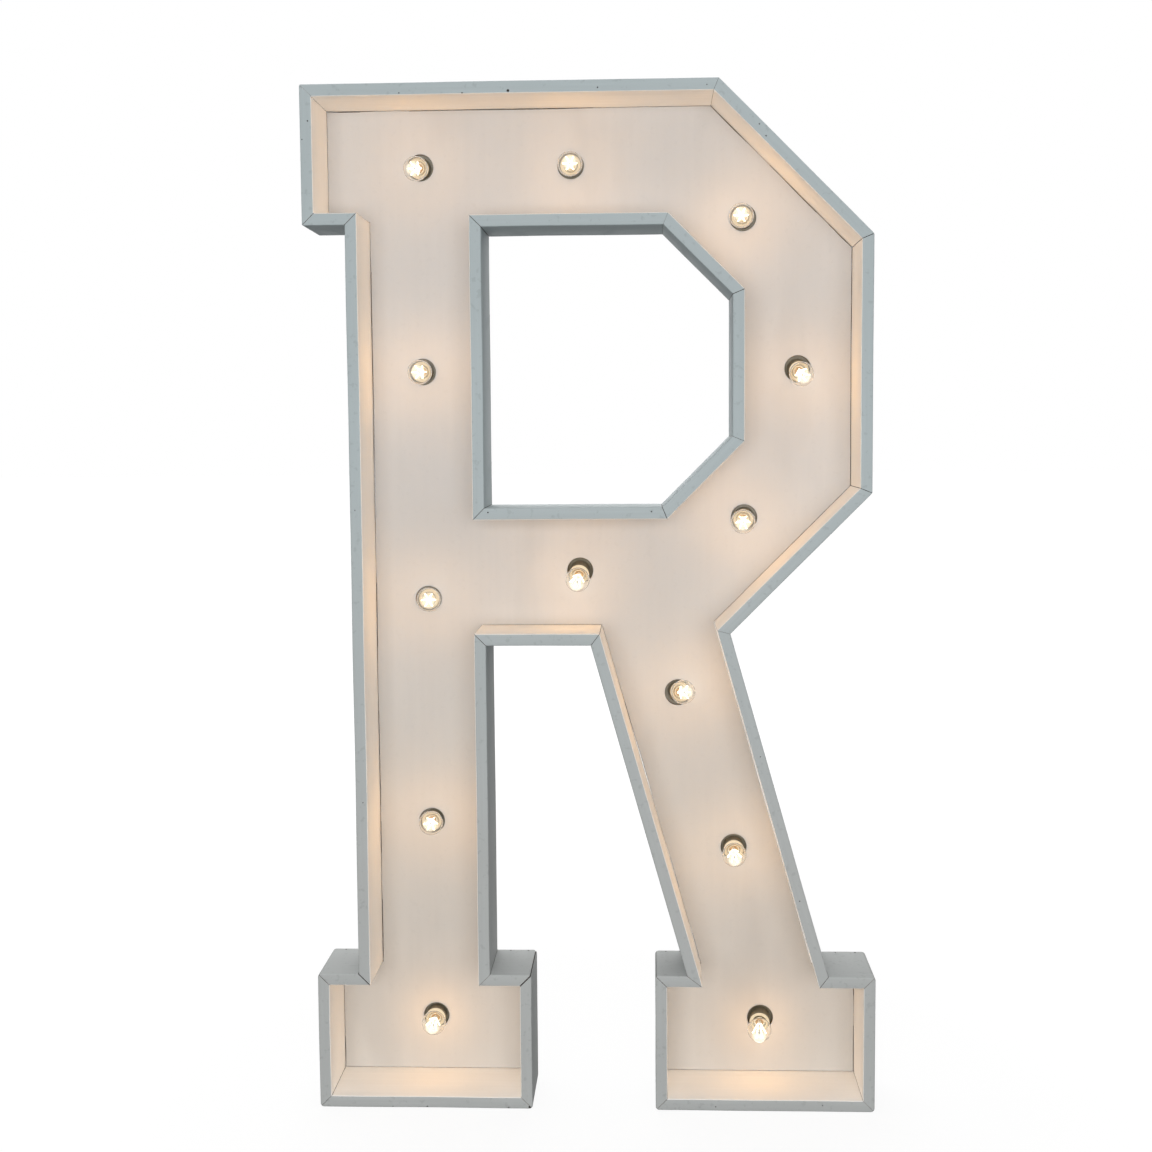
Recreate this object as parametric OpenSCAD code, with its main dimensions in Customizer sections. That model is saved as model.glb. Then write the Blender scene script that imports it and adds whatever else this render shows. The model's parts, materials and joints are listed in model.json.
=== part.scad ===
// Free-standing light-up block letter: a tray of mitred boards round a drilled
// panel, with screw-in lamps that lean a little in their holes.
// Millimetres, +Z up, front face towards -Y, origin under the middle of the part.

/* [Letter] */
// Height of the letter
letter_h = 1219; // [1100:1:1400]
// Width of the upright stem
stem_w = 159; // [140:1:200]
// Height of the top bar
top_bar_h = 165; // [140:1:190]
// Height of the middle bar
mid_bar_h = 163; // [140:1:190]
// Width of the bowl's upright and slanted strokes
bowl_w = 162; // [140:1:190]
// Width of the opening inside the bowl
counter_w = 291; // [260:1:340]
// Height of the opening inside the bowl
counter_h = 326; // [300:1:360]
// Size of the 45 degree cut at the bowl's outer corners
bowl_chamfer = 178; // [150:1:200]
// Width of the leg, square to its edges
leg_w = 162; // [140:1:190]
// Lean of the leg from upright, in degrees
leg_lean = 15.8; // [12:0.1:18]
// Width of the notch between the stem and the leg, at its top
crotch_w = 124; // [100:1:150]

/* [Serifs] */
// Reach of the serifs past the stem
serif_reach = 50; // [40:1:70]
// Height of the top serif
serif_h = 161; // [140:1:190]
// Height of the two feet
foot_h = 166; // [150:1:200]
// Reach of the right foot past the leg, on the inside
heel_reach = 38; // [20:1:60]
// Reach of the right foot past the leg, on the outside
toe_reach = 56; // [40:1:80]

/* [Boards and panel] */
// Depth of the boards, front to back
board_depth = 100; // [80:1:140]
// Thickness of the boards
board_t = 14; // [9:0.5:20]
// Gap at each mitre
mitre_gap = 0.4; // [0.2:0.1:0.8]
// Thickness of the panel
panel_t = 6; // [4:0.5:9]
// Distance of the panel's back from the boards' back edges
panel_set_in = 1.5; // [0:0.5:10]
// Gap between the panel's edge and the boards
panel_gap = 0.4; // [0.2:0.1:0.8]

/* [Lamp places] */
// Spacing of the three lamps on the stem's lower part
stem_lamp_pitch = 279; // [240:1:285]
// Drop of the leg's first lamp below the middle bar
leg_lamp_drop = 70; // [50:1:90]
// Spacing of the leg's two lamps, measured upright
leg_lamp_pitch = 194; // [160:1:210]

/* [Lampholders] */
// Radius of the lampholder's barrel
holder_r = 12.4; // [11:0.1:15]
// Length of the barrel behind the collar's seat
holder_back = 26; // [24:0.5:40]
// Reach of the rim past the panel's front
rim_proud = 14; // [0:0.5:18]
// Radius of the collar that bears on the panel's back
collar_r = 18.5; // [18:0.5:22]
// Thickness of the collar
collar_t = 3; // [2:0.5:5]
// Radius of the clamp cap on the back of the barrel
clamp_r = 14.2; // [13:0.1:17]
// Length of the clamp cap
clamp_len = 12; // [10:0.5:18]
// Chamfer on the clamp cap's end
clamp_chamfer = 3; // [1:0.5:4]
// Gap round the bulb's neck in the lampholder's mouth
mouth_gap = 2; // [1.5:0.1:3]
// Depth of the lampholder's mouth below its rim
mouth_deep = 6; // [4:0.5:8]
// Gap between the barrel that leans most and the wall of its hole
hole_clear = 0.75; // [0.4:0.05:2]
// Gap between the collar's edge and the panel
seat_gap = 0.1; // [0.05:0.05:0.3]
// Gap between pieces that are screwed or pressed together
joint_gap = 0.1; // [0.05:0.05:0.2]

/* [Bulbs] */
// Radius of the screw cap over its thread
cap_r = 6.95; // [5:0.05:7.5]
// Length of the screw cap's straight shell
cap_len = 16; // [14:0.5:18]
// Running clearance between the screw cap and the barrel's bore
cap_clear = 0.1; // [0.05:0.01:0.1]
// Depth of the screw cap's top below the lampholder's rim
cap_sink = 2; // [1:0.5:4]
// Largest radius of the glass
glass_r = 14.8; // [12:0.1:18]
// Radius of the glass at its tip
glass_tip_r = 7.5; // [5:0.1:11]
// Radius of the glass at its neck
glass_neck_r = 6.3; // [4.8:0.1:6.5]
// Height of the widest part above the screw cap
glass_wide_up = 22; // [20:0.5:28]
// Height of the tip above the screw cap
glass_len = 47; // [44:0.5:60]
// Thickness of the glass
glass_t = 0.8; // [0.5:0.1:1.2]
// Number of light filaments in a bulb
filament_count = 6; // [3:1:8]
// Length of a filament
filament_len = 19; // [10:0.5:20]
// Radius of a filament
filament_r = 0.9; // [0.4:0.1:1.1]
// Room between the top of the filament cage and the widest part of the glass
cage_room = 6; // [5:0.5:9]

/* [Wiring] */
// Radius of the cable between the lampholders
cable_r = 3; // [2:0.25:4]
// Width of a cable clip along the cable
clip_w = 7; // [5:0.5:12]
// Thickness of a cable clip's wall
clip_t = 1.4; // [1:0.1:2]
// Reach of a cable clip's nail tab
clip_tab = 7; // [5:0.5:10]

/* [Feed box] */
// Width of the feed box
box_w = 60; // [50:1:64]
// Height of the feed box
box_h = 74; // [60:1:90]
// Depth of the feed box
box_d = 34; // [28:1:45]
// Wall of the feed box
box_wall = 2.5; // [2:0.1:4]
// Radius of the feed box's corners
box_corner = 6; // [3:0.5:12]
// Width of each fixing ear
ear_w = 8; // [6:0.5:10]
// Height of each fixing ear
ear_h = 16; // [10:1:24]
// Thickness of each fixing ear
ear_t = 3; // [2:0.5:4]
// Radius of the bore through the cable gland
gland_bore_r = 3.6; // [2.5:0.1:5]
// Wall round the bore in the gland's threaded stub
gland_wall = 4.2; // [2.5:0.1:6]
// Length of the gland below the box
gland_drop = 19; // [14:0.5:28]
// Height of the feed box's middle above the foot's middle
box_raise = 14; // [8:1:20]

/* [Switch] */
// Swing radius of the rocker
rocker_r = 11; // [8:0.5:12]
// Width of the rocker
rocker_w = 12; // [8:0.5:16]
// Angle of the rocker to each side of the middle
rocker_tilt = 12; // [8:1:14]
// Gap round the rocker
rocker_gap = 0.3; // [0.2:0.05:0.6]
// Radius of the rocker's pivot pins
pin_r = 1.5; // [1:0.1:1.6]
// Running clearance of the pivot pins
pin_clear = 0.05; // [0.02:0.01:0.1]
// Wall of the switch frame
switch_wall = 2.2; // [1.8:0.1:3]
// Height and reach of the switch frame's flange
flange_t = 2; // [1.5:0.1:3]
// Depth of the switch frame inside the box
switch_deep = 10; // [8:0.5:14]

/* [Hidden] */
$fn = 48;
overcut = 1;

// Upright and level lines of the letter, from its lower left front corner
stem_x0 = serif_reach;
stem_x1 = stem_x0 + stem_w;
counter_x1 = stem_x1 + counter_w;
bowl_x1 = counter_x1 + bowl_w;
counter_z1 = letter_h - top_bar_h;
counter_z0 = counter_z1 - counter_h;
crotch_z = counter_z0 - mid_bar_h;
crotch_x = stem_x1 + crotch_w;
left_foot_w = stem_x1 + serif_reach;

// Edges of the leg at a height, and the point where its right edge meets the bowl's slant
function leg_left(z) = crotch_x + (crotch_z - z) * tan(leg_lean);
function leg_right(z) = leg_left(z) + leg_w / cos(leg_lean);
slant_x = bowl_x1 - crotch_z - bowl_chamfer;
armpit_z = (leg_right(0) - slant_x) / (1 + tan(leg_lean));
heel_x = leg_left(foot_h) - heel_reach;
toe_x = leg_right(foot_h) + toe_reach;
letter_w = max(toe_x, bowl_x1);

// Clockwise outline of the letter as [x, z], seen from the front
OUTLINE = [
    [0, letter_h], [bowl_x1 - bowl_chamfer, letter_h], [bowl_x1, letter_h - bowl_chamfer],
    [bowl_x1, crotch_z + bowl_chamfer], [armpit_z + slant_x, armpit_z],
    [leg_right(foot_h), foot_h], [toe_x, foot_h], [toe_x, 0], [heel_x, 0], [heel_x, foot_h],
    [leg_left(foot_h), foot_h], [crotch_x, crotch_z], [stem_x1, crotch_z], [stem_x1, foot_h],
    [left_foot_w, foot_h], [left_foot_w, 0], [0, 0], [0, foot_h], [stem_x0, foot_h],
    [stem_x0, letter_h - serif_h], [0, letter_h - serif_h]
];

// The bowl's strokes keep one width round its corners, which sets the opening's own cuts
slant_gain = bowl_chamfer + bowl_w * (sqrt(2) - 1);
cut_top = slant_gain - top_bar_h;
cut_low = slant_gain - mid_bar_h;

// Anticlockwise outline of the opening inside the bowl
COUNTER = [
    [stem_x1, counter_z0], [counter_x1 - cut_low, counter_z0], [counter_x1, counter_z0 + cut_low],
    [counter_x1, counter_z1 - cut_top], [counter_x1 - cut_top, counter_z1], [stem_x1, counter_z1]
];

// Board names in the order of the edges above
OUTER_BOARDS = [
    "top_board", "bowl_upper_slant_board", "bowl_side_board", "bowl_lower_slant_board",
    "leg_outer_board", "right_foot_toe_board", "right_foot_outer_board", "right_foot_base_board",
    "right_foot_inner_board", "right_foot_heel_board", "leg_inner_board", "crotch_board",
    "stem_inner_board", "left_foot_heel_board", "left_foot_inner_board", "left_foot_base_board",
    "left_foot_outer_board", "left_foot_toe_board", "stem_outer_board", "top_serif_under_board",
    "top_serif_end_board"
];
COUNTER_BOARDS = [
    "counter_bottom_board", "counter_lower_slant_board", "counter_side_board",
    "counter_upper_slant_board", "counter_top_board", "counter_stem_board"
];

// Unit normal on the right-hand side of the way from a to b
function right_normal(a, b) = let (d = (b - a) / norm(b - a)) [d[1], -d[0]];

// Corners of an outline moved to its right-hand side by a distance
function moved_in(outline, distance) = [
    for (i = [0:len(outline) - 1])
        let (
            count = len(outline),
            corner = outline[i],
            before = right_normal(outline[(i + count - 1) % count], corner),
            after = right_normal(corner, outline[(i + 1) % count])
        )
        corner + distance * (before + after) / (1 + before * after)
];

// Length taken off a board's end so that half the mitre gap is left there
function mitre_trim(outer, inner, along) =
    let (m = (inner - outer) / norm(inner - outer))
    mitre_gap / 2 / abs(along[0] * m[1] - along[1] * m[0]);

// Four corners of the mitred board on one edge of an outline
function board_plan(outer, inner, i) =
    let (
        j = (i + 1) % len(outer),
        along = (outer[j] - outer[i]) / norm(outer[j] - outer[i]),
        start = along * mitre_trim(outer[i], inner[i], along),
        end = along * mitre_trim(outer[j], inner[j], along)
    )
    [outer[i] + start, outer[j] - end, inner[j] - end, inner[i] + start];

OUTLINE_INNER = moved_in(OUTLINE, board_t);
COUNTER_INNER = moved_in(COUNTER, board_t);

// Panel faces, measured back from the front of the letter
panel_back = board_depth - panel_set_in;
panel_front = panel_back - panel_t;

// Middles of the strokes, where the lamps stand
function middle(a, b) = (a + b) / 2;
stem_mid = middle(stem_x0, stem_x1);
top_mid = letter_h - top_bar_h / 2;
mid_bar_mid = middle(crotch_z, counter_z0);
counter_mid = middle(counter_z0, counter_z1);
bowl_mid = middle(counter_x1, bowl_x1);
foot_mid = foot_h / 2;
top_bar_mid = middle(COUNTER[4][0], COUNTER[5][0]);
low_bar_mid = middle(COUNTER[0][0], COUNTER[1][0]);
upper_slant = middle(middle(OUTLINE[1], OUTLINE[2]), middle(COUNTER[3], COUNTER[4]));
lower_slant = middle(middle(OUTLINE[3], OUTLINE[4]), middle(COUNTER[1], COUNTER[2]));
leg_lamp_1 = crotch_z - leg_lamp_drop;
leg_lamp_2 = leg_lamp_1 - leg_lamp_pitch;
function leg_mid(z) = middle(leg_left(z), leg_right(z));

// Lamps as [x, z, lean to the right, lean upwards], degrees; the holes are drilled by hand
LAMPS = [
    [stem_mid - 2.5, top_mid, -2, -8],
    [top_bar_mid - 5, top_mid, 1, -4],
    [upper_slant[0], upper_slant[1], -5, -2],
    [bowl_mid + 2, counter_mid, 3, -11],
    [lower_slant[0] - 1, lower_slant[1] - 4, -4, -5],
    [low_bar_mid + 4, mid_bar_mid, -3, -13],
    [stem_mid - 3, counter_mid, 1, -2],
    [stem_mid, counter_mid - stem_lamp_pitch, 6, 3],
    [stem_mid, counter_mid - 2 * stem_lamp_pitch, 4, 6],
    [stem_mid + 2, foot_mid, 1, 2],
    [leg_mid(leg_lamp_1), leg_lamp_1, 9, 7],
    [leg_mid(leg_lamp_2) + 14, leg_lamp_2, -1, -3],
    [middle(heel_x, toe_x), foot_mid, -4, -7]
];
LAMP_COUNT = len(LAMPS);

// Order in which the cable passes the lamps
CHAIN = [9, 8, 7, 6, 0, 1, 2, 3, 4, 5, 10, 11, 12];

// How a lamp leans: its axis, its angle from square, and the seat of its collar
function lamp_axis(k) =
    let (side = LAMPS[k][2], up = LAMPS[k][3])
    [sin(side) * cos(up), -cos(side) * cos(up), sin(up)];
function lamp_lean(k) = acos(-lamp_axis(k)[1]);
function lamp_seat(k) = [
    LAMPS[k][0],
    panel_back + collar_r * sin(lamp_lean(k)) + seat_gap,
    LAMPS[k][1]
];

// Hole wide enough for the lampholder that leans most
most_lean = max([for (k = [0:LAMP_COUNT - 1]) lamp_lean(k)]);
lean_shift = (collar_r * sin(most_lean) + seat_gap + panel_t) * tan(most_lean);
lamp_hole_r = holder_r / cos(most_lean) + lean_shift + hole_clear;

// Heights along a lamp's axis, from the seat of its collar
rim_top = panel_t + rim_proud;
cap_top = rim_top - cap_sink;
cap_low = cap_top - cap_len;
cap_taper = 3;
contact_len = 2.5;
bore_floor = cap_low - cap_taper - contact_len - cap_clear;
bore_r = cap_r + cap_clear;
mouth_r = max(bore_r, glass_neck_r + mouth_gap);
cable_seat = -holder_back - clamp_len / 2;
lamp_end = holder_back + clamp_len;

// Feed box place on the back of the left foot
box_margin = 6;
box_x = left_foot_w - board_t - panel_gap - box_margin - ear_w - box_w / 2;
box_z = foot_mid + box_raise;
box_inner = box_corner - box_wall;
outlet_depth = box_d / 2;
outlet_z = LAMPS[CHAIN[0]][1];
gland_stub_r = gland_bore_r + gland_wall;
gland_fit = 0.2;

// Switch place on the feed box's back
window_l = 2 * (rocker_r + rocker_gap);
window_w = rocker_w + 2 * rocker_gap;
switch_l = window_l + 2 * switch_wall;
switch_w = window_w + 2 * switch_wall;
switch_fit = 0.1;
pin_cover = 0.95;
crown_sink = 0.8;
pivot_under = pin_r + pin_clear + pin_cover;
pivot_depth = box_d + joint_gap + flange_t - pivot_under;
rocker_crown = pivot_under - crown_sink;
rocker_keel = 4;

// Furthest reach to the back sets the middle of the part's depth
function lamp_back(k) =
    lamp_seat(k)[1] + lamp_end * cos(lamp_lean(k)) + (clamp_r - clamp_chamfer) * sin(lamp_lean(k));
rocker_rise = rocker_r * sin(2 * rocker_tilt + asin(rocker_crown * cos(rocker_tilt) / rocker_r));
depth_all = max(
    max([for (k = [0:LAMP_COUNT - 1]) lamp_back(k)]),
    panel_back + pivot_depth + rocker_rise
);

BULB_GLASS = [for (k = [1:LAMP_COUNT]) str("bulb_", k, "_glass")];
BULB_BASE = [for (k = [1:LAMP_COUNT]) str("bulb_", k, "_base")];

// Moves the letter's lower left front corner to its place beside the origin
module placed() {
    translate([-letter_w / 2, -depth_all / 2, 0])
        children();
}

// Stands a front-view shape upright, from one depth to another
module upright(from, to) {
    translate([0, to, 0])
        rotate([90, 0, 0])
            linear_extrude(to - from)
                children();
}

// Carries a lamp's pieces from its own axis to its seat
module at_lamp(k) {
    translate(lamp_seat(k))
        rotate([90 - LAMPS[k][3], 0, LAMPS[k][2]])
            children();
}

module rod(radius, from, to) {
    translate([0, 0, from])
        cylinder(r = radius, h = to - from);
}

module frame_board(outer, inner, i) {
    color("#b1bcbf")
        placed()
            upright(0, board_depth)
                polygon(board_plan(outer, inner, i));
}

// Letter-shaped panel between the boards, drilled for the lamps
module back_panel() {
    color("#efe4d8")
        placed()
            upright(panel_front, panel_back)
                difference() {
                    polygon(moved_in(OUTLINE, board_t + panel_gap));
                    polygon(moved_in(COUNTER, board_t + panel_gap));
                    for (lamp = LAMPS)
                        translate([lamp[0], lamp[1]])
                            circle(r = lamp_hole_r);
                }
}

// Barrel with its collar, bored for the screw cap
module lampholder_barrel() {
    difference() {
        union() {
            rod(holder_r, -holder_back, rim_top);
            rod(collar_r, -collar_t, 0);
        }
        rod(bore_r, bore_floor, rim_top + overcut);
        rod(mouth_r, rim_top - mouth_deep, rim_top + overcut);
    }
}

// Cap that clamps the cable against the back of the barrel
module lampholder_clamp() {
    rotate_extrude()
        polygon([
            [0, -lamp_end], [clamp_r - clamp_chamfer, -lamp_end], [clamp_r, -lamp_end + clamp_chamfer],
            [clamp_r, -holder_back - joint_gap], [0, -holder_back - joint_gap]
        ]);
}

module lampholders() {
    color("#8f8c82")
        placed()
            for (k = [0:LAMP_COUNT - 1])
                at_lamp(k) {
                    lampholder_barrel();
                    lampholder_clamp();
                }
}

// Points of an arc about a place on the lamp's axis, as [radius, height]
function arc(height, radius, from, to, steps) = [
    for (i = [0:steps])
        let (angle = from + (to - from) * i / steps)
        [radius * cos(angle), height + radius * sin(angle)]
];

// Half outline of the glass, shrunk by a skin: neck, round body and drawn-out tip
function glass_line(skin) =
    let (
        arc_steps = 6,
        body_r = glass_r - skin,
        tip_r = glass_tip_r - skin,
        neck_r = glass_neck_r - skin,
        wide = cap_top + glass_wide_up,
        tip = cap_top + glass_len - glass_tip_r,
        shoulder = asin((body_r - tip_r) / (tip - wide)),
        neck_far = norm([neck_r, glass_wide_up - cap_sink]),
        neck_turn = acos(body_r / neck_far) + atan2(neck_r, glass_wide_up - cap_sink)
    )
    concat(
        [[neck_r, cap_top], [neck_r, cap_top + cap_sink]],
        arc(wide, body_r, neck_turn - 90, shoulder, arc_steps),
        arc(tip, tip_r, shoulder, 90, arc_steps)
    );

module bulb_glass(k) {
    outside = glass_line(0);
    inside = glass_line(glass_t);
    color([1, 0.95, 0.85, 0.4])
        placed()
            at_lamp(k)
                rotate_extrude()
                    polygon(concat(outside, [for (i = [len(inside) - 1:-1:0]) inside[i]]));
}

// Screw cap with its contact, and the stem that carries the filaments inside the glass
module bulb_base(k) {
    contact_r = 2.4;
    insulator_r = 4.6;
    contact_low = cap_low - cap_taper - contact_len;
    stem_r = 2.6;
    stem_len = 12;
    plate_r = 4.6;
    plate_t = 1.5;
    plate_rim = 0.5;
    mast_r = 0.8;
    hub_r = 1.6;
    hub_t = 2;
    arm_r = 0.4;
    plate_up = cap_top + stem_len;
    ring_r = plate_r - filament_r - plate_rim;
    cage_r = glass_r - glass_t - cage_room;
    splay = asin((cage_r - ring_r) / filament_len);
    cage_top = plate_up + filament_len * cos(splay);
    color("#caa65c")
        placed()
            at_lamp(k) {
                rotate_extrude()
                    polygon([
                        [0, contact_low], [contact_r, contact_low], [contact_r, cap_low - cap_taper],
                        [insulator_r, cap_low - cap_taper], [cap_r, cap_low], [cap_r, cap_top], [0, cap_top]
                    ]);
                rod(stem_r, cap_top + joint_gap, plate_up);
                rod(plate_r, plate_up - plate_t, plate_up);
                rod(mast_r, plate_up, cage_top - hub_t);
                rod(hub_r, cage_top - hub_t, cage_top);
                for (i = [0:filament_count - 1])
                    rotate(i * 360 / filament_count) {
                        translate([ring_r, 0, plate_up])
                            rotate([0, splay, 0])
                                rod(filament_r, -plate_t / 2, filament_len);
                        translate([0, 0, cage_top - hub_t / 2])
                            rotate([0, 90, 0])
                                rod(arm_r, hub_r - arm_r, cage_r - filament_r / 2);
                    }
            }
}

// Cable route: out of the feed box, then through each clamp and down to a clip between lamps
function clamp_point(k) = lamp_seat(k) + cable_seat * lamp_axis(k);
function clip_point(a, b) =
    let (spot = middle(lamp_seat(a), lamp_seat(b))) [spot[0], panel_back + cable_r, spot[2]];
outlet = [box_x - box_w / 2, panel_back + outlet_depth, outlet_z];
ROUTE = concat(
    [outlet, outlet - [2 * cable_r, 0, 0], clamp_point(CHAIN[0])],
    [
        for (i = [1:LAMP_COUNT - 1])
            each [clip_point(CHAIN[i - 1], CHAIN[i]), clamp_point(CHAIN[i])]
    ]
);

// Smooth curve through the route's points
function on_curve(a, b, c, d, t) =
    b + t / 2 * (c - a + t * (2 * a - 5 * b + 4 * c - d + t * (3 * (b - c) + d - a)));
cable_steps = 3;
route_last = len(ROUTE) - 1;
CABLE_LINE = concat(
    [
        for (i = [0:route_last - 1], s = [0:cable_steps - 1])
            on_curve(
                ROUTE[max(i - 1, 0)], ROUTE[i], ROUTE[i + 1], ROUTE[min(i + 2, route_last)],
                s / cable_steps
            )
    ],
    [ROUTE[route_last]]
);

// One unbroken tube swept along the cable's line
module lamp_cable() {
    sides = 8;
    last = len(CABLE_LINE) - 1;
    points = [
        for (i = [0:last])
            let (
                way = CABLE_LINE[min(i + 1, last)] - CABLE_LINE[max(i - 1, 0)],
                ahead = i == 0 ? [-1, 0, 0] : way / norm(way),
                flat = cross(ahead, [0, 1, 0]),
                side = flat / norm(flat),
                up = cross(side, ahead)
            )
            for (s = [0:sides - 1])
                CABLE_LINE[i] + cable_r * (cos(360 * s / sides) * side + sin(360 * s / sides) * up)
    ];
    faces = concat(
        [[for (s = [0:sides - 1]) s]],
        [
            for (i = [0:last - 1], s = [0:sides - 1])
                let (a = i * sides + s, b = i * sides + (s + 1) % sides)
                each [[a, a + sides, b], [b, a + sides, b + sides]]
        ],
        [[for (s = [sides - 1:-1:0]) last * sides + s]]
    );
    color("#1d1d1f")
        placed()
            polyhedron(points, faces);
}

// Saddle over the cable with a tab for its nail, one in the middle of each run
module cable_clip() {
    over_r = cable_r + clip_t;
    translate([0, 0, -clip_w / 2])
        linear_extrude(clip_w)
            difference() {
                union() {
                    translate([0, cable_r])
                        circle(r = over_r);
                    translate([-over_r, 0])
                        square([2 * over_r, cable_r]);
                    square([over_r + clip_tab, 2 * clip_t]);
                }
                translate([0, cable_r])
                    circle(r = cable_r);
                translate([-cable_r, -overcut])
                    square([2 * cable_r, cable_r + overcut]);
                translate([-over_r, -2 * over_r])
                    square([4 * over_r, 2 * over_r]);
            }
}

module cable_clips() {
    color("#e9e6df")
        placed()
            for (i = [1:LAMP_COUNT - 1]) {
                from = lamp_seat(CHAIN[i - 1]);
                to = lamp_seat(CHAIN[i]);
                spot = middle(from, to);
                translate([spot[0], panel_back, spot[2]])
                    rotate([0, atan2(to[0] - from[0], to[2] - from[2]), 0])
                        cable_clip();
            }
}

// Moves pieces of the feed box from its own middle, on the panel's back, to its place
module at_box() {
    translate([box_x, panel_back, box_z])
        children();
}

module rounded(width, height, radius) {
    square([width - 2 * radius, height], center = true);
    square([width, height - 2 * radius], center = true);
    for (x = [-1, 1], y = [-1, 1])
        translate([x * (width / 2 - radius), y * (height / 2 - radius)])
            circle(r = radius);
}

// Box shell, open towards the panel, with a window for the switch and a hole for the gland
module box_shell() {
    difference() {
        union() {
            upright(0, box_d)
                rounded(box_w, box_h, box_corner);
            translate([0, ear_t / 2, box_h / 4])
                cube([box_w + 2 * ear_w, ear_t, ear_h], center = true);
        }
        upright(-overcut, box_d - box_wall)
            rounded(box_w - 2 * box_wall, box_h - 2 * box_wall, box_inner);
        translate([0, box_d, 0])
            cube([switch_w + 2 * switch_fit, 4 * box_wall, switch_l + 2 * switch_fit], center = true);
        translate([0, box_d / 2, 0])
            rod(gland_stub_r + gland_fit, -box_h, 0);
    }
}

// Frame of the rocker switch, with the bearings of its pivot pins
module switch_frame() {
    difference() {
        union() {
            translate([-switch_w / 2, box_d - switch_deep, -switch_l / 2])
                cube([switch_w, switch_deep + flange_t, switch_l]);
            translate([0, box_d + joint_gap, 0])
                translate([-switch_w / 2 - flange_t, 0, -switch_l / 2 - flange_t])
                    cube([switch_w + 2 * flange_t, flange_t, switch_l + 2 * flange_t]);
        }
        translate([0, box_d, 0])
            cube([window_w, 4 * switch_deep, window_l], center = true);
        translate([0, pivot_depth, 0])
            rotate([0, 90, 0])
                rod(pin_r + pin_clear, -switch_w, switch_w);
    }
}

module feed_box() {
    color("#2c2d30")
        placed()
            at_box() {
                box_shell();
                switch_frame();
            }
}

// Gland with a hexagon that seats under the box and a domed nut
module cable_gland() {
    hex_t = 5;
    hex_reach = 3.5;
    thread_len = 5;
    nut_wall = 2;
    nut_len = 6;
    nut_r = gland_stub_r + nut_wall;
    color("#3a3b3e")
        placed()
            at_box()
                translate([0, box_d / 2, -box_h / 2])
                    difference() {
                        union() {
                            rod(gland_stub_r, -hex_t, box_wall + thread_len);
                            translate([0, 0, -hex_t])
                                cylinder(r = gland_stub_r + hex_reach, h = hex_t, $fn = 6);
                            rotate_extrude()
                                polygon([
                                    [0, -gland_drop], [gland_bore_r + nut_wall, -gland_drop],
                                    [nut_r, -hex_t - nut_len], [nut_r, -hex_t], [0, -hex_t]
                                ]);
                        }
                        rod(gland_bore_r, -gland_drop - overcut, box_wall + thread_len + overcut);
                    }
}

// Rocker with its two pivot pins, stored with its upper half pressed in
module switch_rocker() {
    slope = rocker_r * tan(rocker_tilt);
    color("#191a1c")
        placed()
            at_box()
                translate([0, pivot_depth, 0])
                    rotate([rocker_tilt, 0, 0]) {
                        rotate([90, 0, 90])
                            translate([0, 0, -rocker_w / 2])
                                linear_extrude(rocker_w)
                                    intersection() {
                                        circle(r = rocker_r);
                                        polygon([
                                            [-rocker_keel, -rocker_r], [rocker_crown + slope, -rocker_r],
                                            [rocker_crown, 0], [rocker_crown + slope, rocker_r],
                                            [-rocker_keel, rocker_r]
                                        ]);
                                    }
                        rotate([0, 90, 0])
                            rod(pin_r, -switch_w / 2 + rocker_gap, switch_w / 2 - rocker_gap);
                    }
}

for (i = [0:len(OUTER_BOARDS) - 1])
    frame_board(OUTLINE, OUTLINE_INNER, i);
for (i = [0:len(COUNTER_BOARDS) - 1])
    frame_board(COUNTER, COUNTER_INNER, i);
for (k = [0:LAMP_COUNT - 1])
    bulb_glass(k);
for (k = [0:LAMP_COUNT - 1])
    bulb_base(k);
back_panel();
lampholders();
lamp_cable();
cable_clips();
feed_box();
cable_gland();
switch_rocker();
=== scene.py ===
import json
import math

import bmesh
import bpy
from mathutils import Matrix, Vector, noise
from mathutils.bvhtree import BVHTree
from mathutils.geometry import intersect_point_line


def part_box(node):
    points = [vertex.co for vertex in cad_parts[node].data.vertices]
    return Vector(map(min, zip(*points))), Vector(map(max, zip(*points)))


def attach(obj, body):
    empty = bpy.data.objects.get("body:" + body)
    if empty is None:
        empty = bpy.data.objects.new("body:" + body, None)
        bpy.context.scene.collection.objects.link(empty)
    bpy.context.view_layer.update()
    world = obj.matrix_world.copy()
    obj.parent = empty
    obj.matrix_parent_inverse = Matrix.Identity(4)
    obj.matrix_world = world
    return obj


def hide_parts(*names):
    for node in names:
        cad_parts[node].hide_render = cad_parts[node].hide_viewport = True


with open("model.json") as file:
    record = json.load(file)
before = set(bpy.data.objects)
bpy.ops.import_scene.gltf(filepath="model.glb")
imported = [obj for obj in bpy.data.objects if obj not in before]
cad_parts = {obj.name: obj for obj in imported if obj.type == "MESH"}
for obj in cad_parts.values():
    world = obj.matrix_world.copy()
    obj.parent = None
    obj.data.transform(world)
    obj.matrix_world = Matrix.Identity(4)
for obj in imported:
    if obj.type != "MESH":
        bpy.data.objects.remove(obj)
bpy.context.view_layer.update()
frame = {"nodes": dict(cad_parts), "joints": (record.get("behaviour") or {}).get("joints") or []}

MM = 0.001

# Camera: place, turn to the left, tilt and roll in degrees, focal length and sensor in millimetres
CAMERA_AT = (0.0683, -2.0162, 0.8164)
CAMERA_TURN = 2.564
CAMERA_TILT = -4.952
CAMERA_ROLL = -0.436
CAMERA_LENS = 51.93
SENSOR_WIDTH = 36.0

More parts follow.
